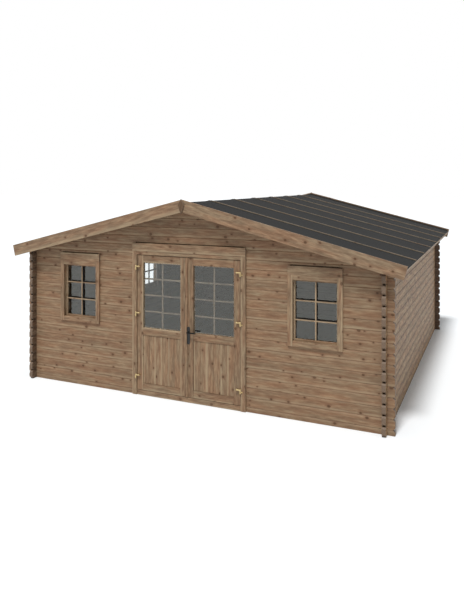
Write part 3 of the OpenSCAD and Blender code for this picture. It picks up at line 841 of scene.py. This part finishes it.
# The left slope is turned half a turn, so its front is where the right one has its back
barges = (("front", "right", roof_front, HEARTWOOD), ("back", "right", roof_back + BARGE_T, 0.3),
          ("back", "left", roof_front, 0.7), ("front", "left", roof_back + BARGE_T, 0.35))
for end, side, edge, luck in barges:
    stack = BoardStack()
    stack.add(barge_outline, BARGE_T, slopes[side] @ Matrix.Translation((0, edge, 0)) @ upright_x, luck=luck)
    stack.make(f"barge_board_{end}_{side}", barge_pine, "cabin", "trim_wood", f"barge_{end}_{side}")

# %% [markdown]
# ## Felt upstands
# At the gables the felt is turned up against the inner faces of the barge boards, to keep the rain out.
# Only a thin edge of it shows, drawn in a paler grey than the roof: painted light, as the upstand stands
# in shade. Bending the felt would change the frame's solid, so each upstand is a thin strip of its own
# with the barge board's slanted end.

# %% Felt upstands
UPSTAND_T = 0.0015
UPSTAND_BELOW = 0.016
UPSTAND_EASE = 0.0004
upstand_top = barge_top - UPSTAND_BELOW
upstand_outline = [(-felt_top * rise, felt_top), (board_end, felt_top),
                   (board_end, upstand_top), (-upstand_top * rise, upstand_top)]
# painted light: a paler felt for the upstands, which stand in shade
upstand_lit_felt = mineral_felt("upstand_lit_felt", shade(44, 43, 41), shade(66, 64, 61))
stack = BoardStack()
for slope in slopes.values():
    for edge in (roof_front + UPSTAND_T, roof_back):
        place = slope @ Matrix.Translation((0, edge, 0)) @ upright_x
        stack.add(upstand_outline, UPSTAND_T, place, UPSTAND_EASE)
stack.make("felt_upstands", upstand_lit_felt, "cabin", "felt")

# %% [markdown]
# ## Kites
# A kite-shaped board covers the mitre of each pair of barge boards. All its edges take the dark colours
# of end grain: partly end grain, as it is sawn all round, and partly painted shade along its edges. It is
# stained darker than the boards behind it. Four corners are enough for its outline.

# %% Kites
KITE_DROP = 0.076
KITE_EASE = 0.004
KITE_STAIN = {"light": shade(128, 100, 74), "mid": shade(102, 78, 56), "dark": shade(75, 55, 39)}
kite_pine = stained_pine("kite_pine", board_marks, KITE_STAIN, pale_share=0.0)
upright_z = Matrix(((0, 1, 0), (0, 0, 1), (1, 0, 0))).to_4x4()
for end in ("front", "back"):
    low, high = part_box("finial_" + end)
    half = high.x
    outline = [(low.z, 0), (high.z - KITE_DROP, half), (high.z, 0), (high.z - KITE_DROP, -half)]
    place = Matrix.Translation((0, low.y, 0)) @ upright_z
    stack = BoardStack()
    # the kite's dark edges are partly painted shade
    stack.add(outline, high.y - low.y, place, KITE_EASE, dark_edges_round=True)
    stack.make("kite_" + end, kite_pine, "cabin", "trim_wood", "finial_" + end)

# %% [markdown]
# ## Door frame
# A log wall shrinks as it dries, so each opening has a frame that clasps the logs and slides on them:
# jambs through the wall, and casings on both faces. The side casings run full height and the others butt
# between them, as a joiner would cut them. One pierced slab would be quicker, but its grain would run one
# way only.

# %% Door frame
SIDE_CASING = 0.063
LINTEL_H = 0.045
JAMB_T = 0.028
STOP_W = 0.015
STOP_GAP = 0.005
SILL_EASE = 0.004
door_low, door_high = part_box("door_frame")
clear_x = door_high.x - SIDE_CASING
clear_z = door_high.z - LINTEL_H
inner_y = front_y + log_thick
floor_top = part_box("floor_boards")[1].z
threshold_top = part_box("threshold")[1].z
stop_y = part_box("left_leaf_frame")[1].y + STOP_GAP

stack = BoardStack()
for side in (-1, 1):
    left, right = sorted((side * door_high.x, side * clear_x))
    stack.bar((left, door_low.y, 0), (right, front_y, door_high.z), "z")
    stack.bar((left, inner_y, floor_top), (right, door_high.y, door_high.z), "z")
    left, right = sorted((side * (clear_x + JAMB_T), side * clear_x))
    stack.bar((left, front_y, 0), (right, inner_y, clear_z + JAMB_T), "z")
    left, right = sorted((side * (clear_x - STOP_W), side * clear_x))
    stack.bar((left, stop_y, threshold_top), (right, door_high.y, clear_z), "z")
stack.bar((-clear_x, door_low.y, clear_z), (clear_x, front_y, door_high.z), "x", luck=HEARTWOOD)
stack.bar((-clear_x, inner_y, clear_z), (clear_x, door_high.y, door_high.z), "x")
stack.bar((-clear_x, front_y, clear_z), (clear_x, inner_y, clear_z + JAMB_T), "x")
stack.bar((STOP_W - clear_x, stop_y, clear_z - STOP_W), (clear_x - STOP_W, door_high.y, clear_z), "x")
stack.make("door_casing", trim_pine, "cabin", "trim_wood", "door_frame")

stack = BoardStack()
low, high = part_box("threshold")
stack.bar(low, high, "x", ease=SILL_EASE)
stack.make("door_sill", trim_pine, "cabin", "trim_wood", "threshold")

# %% [markdown]
# ## Windows
# The two front windows and the one in the left wall are alike, so a window is drawn once, in its own
# frame: x across, y into the room from the wall's face, z up. A matrix sets it in its wall. Copies of one
# mesh would be quicker, but then all three windows would show the same knots.

# %% Places of the windows
CASING_W = 0.057
CASING_T = 0.022
window_low, window_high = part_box("window_frame_right")
half_clear = (window_high.x - window_low.x) / 2 - CASING_W
sill_z = window_low.z + CASING_W
lintel_z = window_high.z - CASING_W
window_x = (window_low.x + window_high.x) / 2
side_low, side_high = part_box("window_frame_side")
side_y = (side_low.y + side_high.y) / 2
side_drop = side_low.z - window_low.z
window_places = {
    "left": Matrix.Translation((-window_x, front_y, 0)),
    "right": Matrix.Translation((window_x, front_y, 0)),
    "side": Matrix.Translation((left_x, side_y, side_drop)) @ Matrix.Rotation(-math.pi / 2, 4, "Z"),
}
print("clear opening", round(2 * half_clear, 3), "m by", round(lintel_z - sill_z, 3), "m")

# %% [markdown]
# A window is rings of four boards: casings on both faces, jambs between them, and a sash in the jambs.
# The sash has thin bars in front of the glass. Behind each bar a thin dark strip lies on the glass, wider
# to the right of the bar and above it: painted shade, for the dark backs of the bars mirrored in the
# glass. Dark paint on the glass could show the same line, but then the pane's own solid would need a
# second finish.

# %% Boards of a window
SASH_SET = 0.030
SASH_T = 0.034
SASH_STILE = 0.018
SASH_PLAY = 0.0004
BAR_W = 0.015
BAR_T = 0.005
BAR_EASE = 0.0015
BAR_SHADE_T = 0.005
BAR_SHADE_UNDER = 0.006
BAR_SHADE_RIGHT = 0.015
BAR_SHADE_ABOVE = 0.020
BAR_SHADE_EASE = 0.001
PANE_ROWS = 3
glass_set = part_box("window_panes")[0].y - front_y
half_light = half_clear - SASH_STILE
light_low, light_high = sill_z + SASH_STILE, lintel_z - SASH_STILE
bar_levels = [light_low + (light_high - light_low) * row / PANE_ROWS for row in range(1, PANE_ROWS)]


def ring_of_boards(stack, reach, width, near, far, place, luck=None):
    """Four boards round the opening, which stand out of it by reach. The luck is that of the uprights."""
    for side in (-1, 1):
        left, right = sorted((side * (half_clear + reach), side * (half_clear + reach - width)))
        stack.bar((left, near, sill_z - reach), (right, far, lintel_z + reach), "z", place, luck=luck)
    span = half_clear + reach - width
    for low in (sill_z - reach, lintel_z + reach - width):
        stack.bar((-span, near, low), (span, far, low + width), "x", place, luck=HEARTWOOD)


def window_boards(stack, place, luck):
    ring_of_boards(stack, CASING_W, CASING_W, -CASING_T, 0, place, luck)
    ring_of_boards(stack, JAMB_T, JAMB_T, 0, log_thick, place)
    ring_of_boards(stack, CASING_W, CASING_W, log_thick, log_thick + CASING_T, place)


def sash_boards(stack, place):
    ring_of_boards(stack, -SASH_PLAY, SASH_STILE - SASH_PLAY, SASH_SET, SASH_SET + SASH_T, place)
    near, far = SASH_SET, SASH_SET + BAR_T
    half = BAR_W / 2
    stack.bar((-half, near, light_low), (half, far, light_high), "z", place, BAR_EASE)
    for level in bar_levels:
        for left, right in ((-half_light, -half), (half, half_light)):
            stack.bar((left, near, level - half), (right, far, level + half), "x", place, BAR_EASE)


# painted shade beside the bars: dark strips on the glass, right of and above each bar
def painted_bar_shade(stack, place):
    far = glass_set - SASH_PLAY
    near = far - BAR_SHADE_T
    low, high = light_low + SASH_PLAY, light_high - SASH_PLAY
    end = half_light - SASH_PLAY
    stack.bar((-BAR_SHADE_UNDER, near, low), (BAR_SHADE_RIGHT, far, high), "z", place, BAR_SHADE_EASE)
    for level in bar_levels:
        under, above = level - BAR_SHADE_UNDER, level + BAR_SHADE_ABOVE
        for left, right in ((-end, -BAR_SHADE_UNDER), (BAR_SHADE_RIGHT, end)):
            stack.bar((left, near, under), (right, far, above), "x", place, BAR_SHADE_EASE)


casing_luck = {"left": HEARTWOOD, "right": SAPPY_RIGHT, "side": HEARTWOOD}
sashes = BoardStack()
bar_shade_strips = BoardStack()
for where, place in window_places.items():
    stack = BoardStack()
    window_boards(stack, place, casing_luck[where])
    stack.make("window_casing_" + where, trim_pine, "cabin", "trim_wood", "window_frame_" + where)
    sash_boards(sashes, place)
    painted_bar_shade(bar_shade_strips, place)
sashes.make("sashes_and_bars", trim_pine, "cabin", "trim_wood", "window_sashes")

# %% [markdown]
# The strips of painted bar shade are nearly black and dull, with a faint mottle. That is a different
# finish from the wood, so it gets its own small network.

# %% Painted bar shade
BAR_SHADE_MOTTLE = 40.0            # noise to the metre
BAR_SHADE_ROUGH = (0.7, 0.9)


def bar_shade_dark():
    material, tree, shader = new_finish("bar_shade_dark")
    mottle = noise_at(tree, stretched(tree, own_place(tree), BAR_SHADE_MOTTLE, BAR_SHADE_MOTTLE), 3.0)
    colour = mix_colour(tree, mottle, shade(14, 12, 11), shade(30, 27, 24))
    rough = between(tree, mottle, *BAR_SHADE_ROUGH)
    dress(tree, shader, colour, rough, height=mottle, strength=0.1, distance=0.0005, gloss=0.2)
    return material


# the dark strips are painted shade for the bars mirrored in the glass
bar_shade_strips.make("window_bar_shade", bar_shade_dark(), "cabin", "black_metal")

# %% [markdown]
# ## Head boards
# Over each opening a gap is left for the logs to settle, and a head board covers it, outside and inside.
# It could be drawn with the casing under it, but on the house it is nailed to the logs and the frame
# slides behind it, so the head boards are a piece of their own. The one over the door stands out a little
# further.

# %% Head boards
HEAD_H = 0.100
DOOR_HEAD_OUT = 0.005
heads = BoardStack()
for near, far in ((door_low.y - DOOR_HEAD_OUT, front_y), (inner_y, door_high.y)):
    heads.bar((-door_high.x, near, door_high.z), (door_high.x, far, door_high.z + HEAD_H), "x")
reach = half_clear + CASING_W
for place in window_places.values():
    for near, far in ((-CASING_T, 0), (log_thick, log_thick + CASING_T)):
        heads.bar((-reach, near, window_high.z), (reach, far, window_high.z + HEAD_H), "x", place)
heads.make("head_boards_over_openings", trim_pine, "cabin", "trim_wood", "head_boards")

# %% [markdown]
# ## Door leaves
# Each leaf is a frame of stiles and rails with a light above and a panel of tongued boards below. A strip
# on the right leaf covers the line where the two meet. The bars of the light are on the room side of the
# glass, so from outside they look dim. They are a piece of their own with a greyer, flatter stain that is
# a little paler than the leaf's: painted light for the daylight that the glass keeps from them. The
# leaves are separate bodies: what is drawn for a leaf rides on that leaf, and swings with it.

# %% Boards of a leaf
PANEL_BOARDS = 6
PANEL_EASE = 0.004
BEAD = 0.010
LEAF_BAR_W = 0.020
LEAF_BAR_T = 0.010
LEAF_ROWS = 4
LEAF_EASE = 0.003
INFILL_PLAY = 0.0004
STRIP_W = 0.032
PLATE_GAP = 0.002
leaf_front, leaf_back = (corner.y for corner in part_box("left_leaf_frame"))


def leaf_frame_boards(stack, leaf):
    low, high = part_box(leaf + "_frame")
    pane_low, pane_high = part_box(leaf + "_glass")
    panel_low, panel_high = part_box(leaf + "_panel")
    left, right = pane_low.x - INFILL_PLAY, pane_high.x + INFILL_PLAY
    for near, far in ((low.x, left), (right, high.x)):
        stack.bar((near, leaf_front, low.z), (far, leaf_back, high.z), "z", ease=LEAF_EASE)
    rails = ((low.z, panel_low.z - INFILL_PLAY),
             (panel_high.z + INFILL_PLAY, pane_low.z - INFILL_PLAY),
             (pane_high.z + INFILL_PLAY, high.z))
    for bottom, top in rails:
        stack.bar((left, leaf_front, bottom), (right, leaf_back, top), "x", ease=LEAF_EASE)


def leaf_panel_boards(stack, leaf):
    low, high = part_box(leaf + "_panel")
    width = (high.x - low.x) / PANEL_BOARDS
    for i in range(PANEL_BOARDS):
        left = low.x + i * width
        stack.bar((left, low.y, low.z), (left + width, high.y, high.z), "z", ease=PANEL_EASE)


def leaf_light_bars(stack, leaf):
    """Beads round the glass, one upright bar and the level bars, all on the room side."""
    low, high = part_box(leaf + "_glass")
    near = high.y + INFILL_PLAY
    far = near + LEAF_BAR_T
    for left in (low.x, high.x - BEAD):
        stack.bar((left, near, low.z), (left + BEAD, far, high.z), "z")
    for level in (low.z, high.z - BEAD):
        stack.bar((low.x + BEAD, near, level), (high.x - BEAD, far, level + BEAD), "x")
    middle = (low.x + high.x) / 2
    half = LEAF_BAR_W / 2
    stack.bar((middle - half, near, low.z + BEAD), (middle + half, far, high.z - BEAD), "z")
    for row in range(1, LEAF_ROWS):
        level = low.z + (high.z - low.z) * row / LEAF_ROWS
        for left, right in ((low.x + BEAD, middle - half), (middle + half, high.x - BEAD)):
            stack.bar((left, near, level - half), (right, far, level + half), "x")


def cover_strip(stack):
    """The strip on the right leaf that covers the meeting line, cut back beside the handle's plate."""
    low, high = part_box("right_leaf_frame")
    plate_low, plate_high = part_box("handle_plates")
    left, right = low.x, low.x + STRIP_W
    cut = plate_low.x - PLATE_GAP
    under, over = plate_low.z - PLATE_GAP, plate_high.z + PLATE_GAP
    outline = [(low.z, left), (high.z, left), (high.z, right), (over, right),
               (over, cut), (under, cut), (under, right), (low.z, right)]
    place = Matrix.Translation((0, low.y, 0)) @ upright_z
    stack.add(outline, leaf_front - low.y, place, LEAF_EASE, HEARTWOOD)


print("leaves", round(leaf_back - leaf_front, 4), "m thick")

# %% [markdown]
# The frame and the panel of a leaf differ a little in tone, because each is stained before it is put
# together. The bars' stain is paler and greyer, as painted light for the daylight that the glass keeps
# from them. Three stains do that, close to each other. One stain with more luck could, but it would also
# make the boards of one panel differ too much.

# %% Leaves
LEAF_STAIN = {"light": shade(153, 132, 105), "mid": shade(128, 105, 82), "dark": shade(101, 77, 58)}
PANEL_STAIN = {"light": shade(156, 135, 108), "mid": shade(134, 111, 87), "dark": shade(111, 86, 66)}
# painted light: a paler, greyer stain for the bars behind the glass
BAR_LIT_STAIN = {"light": shade(138, 122, 105), "mid": shade(126, 111, 95), "dark": shade(114, 99, 84)}
leaf_pine = stained_pine("leaf_pine", board_marks, LEAF_STAIN)
panel_pine = stained_pine("panel_pine", board_marks, PANEL_STAIN)
bar_lit_pine = stained_pine("bar_lit_pine", board_marks, BAR_LIT_STAIN, knots=0.3, pale_share=0.3)
for leaf in ("left_leaf", "right_leaf"):
    stack = BoardStack()
    bars = BoardStack()
    leaf_frame_boards(stack, leaf)
    leaf_light_bars(bars, leaf)
    if leaf == "right_leaf":
        cover_strip(stack)
    stack.make(leaf + "_joinery", leaf_pine, leaf, "door_wood", leaf + "_frame")
    bars.make(leaf + "_bars", bar_lit_pine, leaf, "door_wood")
    stack = BoardStack()
    leaf_panel_boards(stack, leaf)
    stack.make(leaf + "_boards", panel_pine, leaf, "door_wood", leaf + "_panel")

# %% [markdown]
# ## Glass and metal
# The panes are thin solids, so plain transmission bends and mirrors light at both faces as real glass
# does. A faint film on the glass makes what it mirrors a little warmer. The hinges are brass and the
# handle is blackened metal. Metal is never one even tone: noise in the roughness makes the rubbed and the
# dull places.

# %% Glass, brass and black metal
GLASS_BENDING = 1.56           # its index of refraction
GLASS_MIRROR = (1.0, 0.98, 0.91, 1.0)
GLASS_FILM = 5.0               # noise to the metre
FILM_DULL = (0.94, 0.96, 0.95, 1)
FILM_CLEAR = (0.99, 1.0, 0.995, 1)
METAL_CLOUDS = 60.0            # noise to the metre
METAL_SPECKS = 900.0
RUBBING = 0.25                 # how much rougher the dull places are


def window_glass():
    material, tree, shader = new_finish("window_glass")
    shader.inputs["Transmission Weight"].default_value = 1.0
    shader.inputs["IOR"].default_value = GLASS_BENDING
    shader.inputs["Specular Tint"].default_value = GLASS_MIRROR
    shader.inputs["Roughness"].default_value = 0.0
    film = noise_at(tree, stretched(tree, own_place(tree), GLASS_FILM, GLASS_FILM), 3.0)
    tree.links.new(mix_colour(tree, film, FILM_DULL, FILM_CLEAR), shader.inputs["Base Color"])
    return material


def rubbed_metal(name, pale, dull, metallic, smooth, gloss=0.5):
    material, tree, shader = new_finish(name)
    place = own_place(tree)
    cloud = noise_at(tree, stretched(tree, place, METAL_CLOUDS, METAL_CLOUDS), 3.0)
    speck = noise_at(tree, stretched(tree, place, METAL_SPECKS, METAL_SPECKS), 2.0)
    colour = mix_colour(tree, cloud, dull, pale)
    rough = between(tree, cloud, smooth, smooth + RUBBING)
    dress(tree, shader, colour, rough, height=speck, strength=0.15, distance=0.0004, gloss=gloss)
    shader.inputs["Metallic"].default_value = metallic
    return material


glass = window_glass()
brass = rubbed_metal("hinge_brass", shade(214, 194, 150), shade(170, 146, 100), metallic=1.0, smooth=0.3)
black = rubbed_metal("blackened_metal", shade(36, 35, 33), shade(20, 20, 19), metallic=0.0, smooth=0.4)
lever_black = rubbed_metal("lever_black", shade(20, 20, 19), shade(10, 10, 10), metallic=0.0, smooth=0.5,
                           gloss=0.15)
finish_nodes(glass, "window_panes", "left_leaf_glass", "right_leaf_glass")
finish_nodes(brass, "frame_hinges", "left_leaf_hinges", "right_leaf_hinges")
finish_nodes(black, "handle_plates")
finish_nodes(lever_black, "lever")
print("glass and metal finished")

# %% [markdown]
# ## Floor boards
# The floor is at door level: planed boards on bearers, inside the walls. It shows when the door is open,
# and faintly through the glass, where boards of very different browns would make stripes. So their stain
# is even. The boards cross the bearers, so they run from front to back.

# %% Floor boards
FLOOR_BOARD_W = 0.095
PLANK_EASE = 0.001
FLOOR_STAIN = {"light": shade(136, 114, 89), "mid": shade(131, 109, 84), "dark": shade(125, 103, 79)}
floor_pine = stained_pine("floor_pine", board_marks, FLOOR_STAIN, knots=0.5, pale_share=0.1)
bearer_pine = stained_pine("bearer_pine", solid_marks("x"), WALL_STAIN)
finish_nodes(bearer_pine, "floor_bearers")
low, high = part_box("floor_boards")
plank_count = round((high.x - low.x) / FLOOR_BOARD_W)
plank_pitch = (high.x - low.x) / plank_count
stack = BoardStack()
for i in range(plank_count):
    left = low.x + i * plank_pitch
    stack.bar((left, low.y, low.z), (left + plank_pitch, high.y, high.z), "y", ease=PLANK_EASE)
stack.make("floor_planks", floor_pine, "cabin", "floor_wood", "floor_boards")

# %% [markdown]
# ## Last measure
# The dressed house must still be the size of the frame. Measuring by eye would miss a millimetre, so the
# box of the dressed house is measured in code.

# %% Measure the dressed house
low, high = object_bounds()
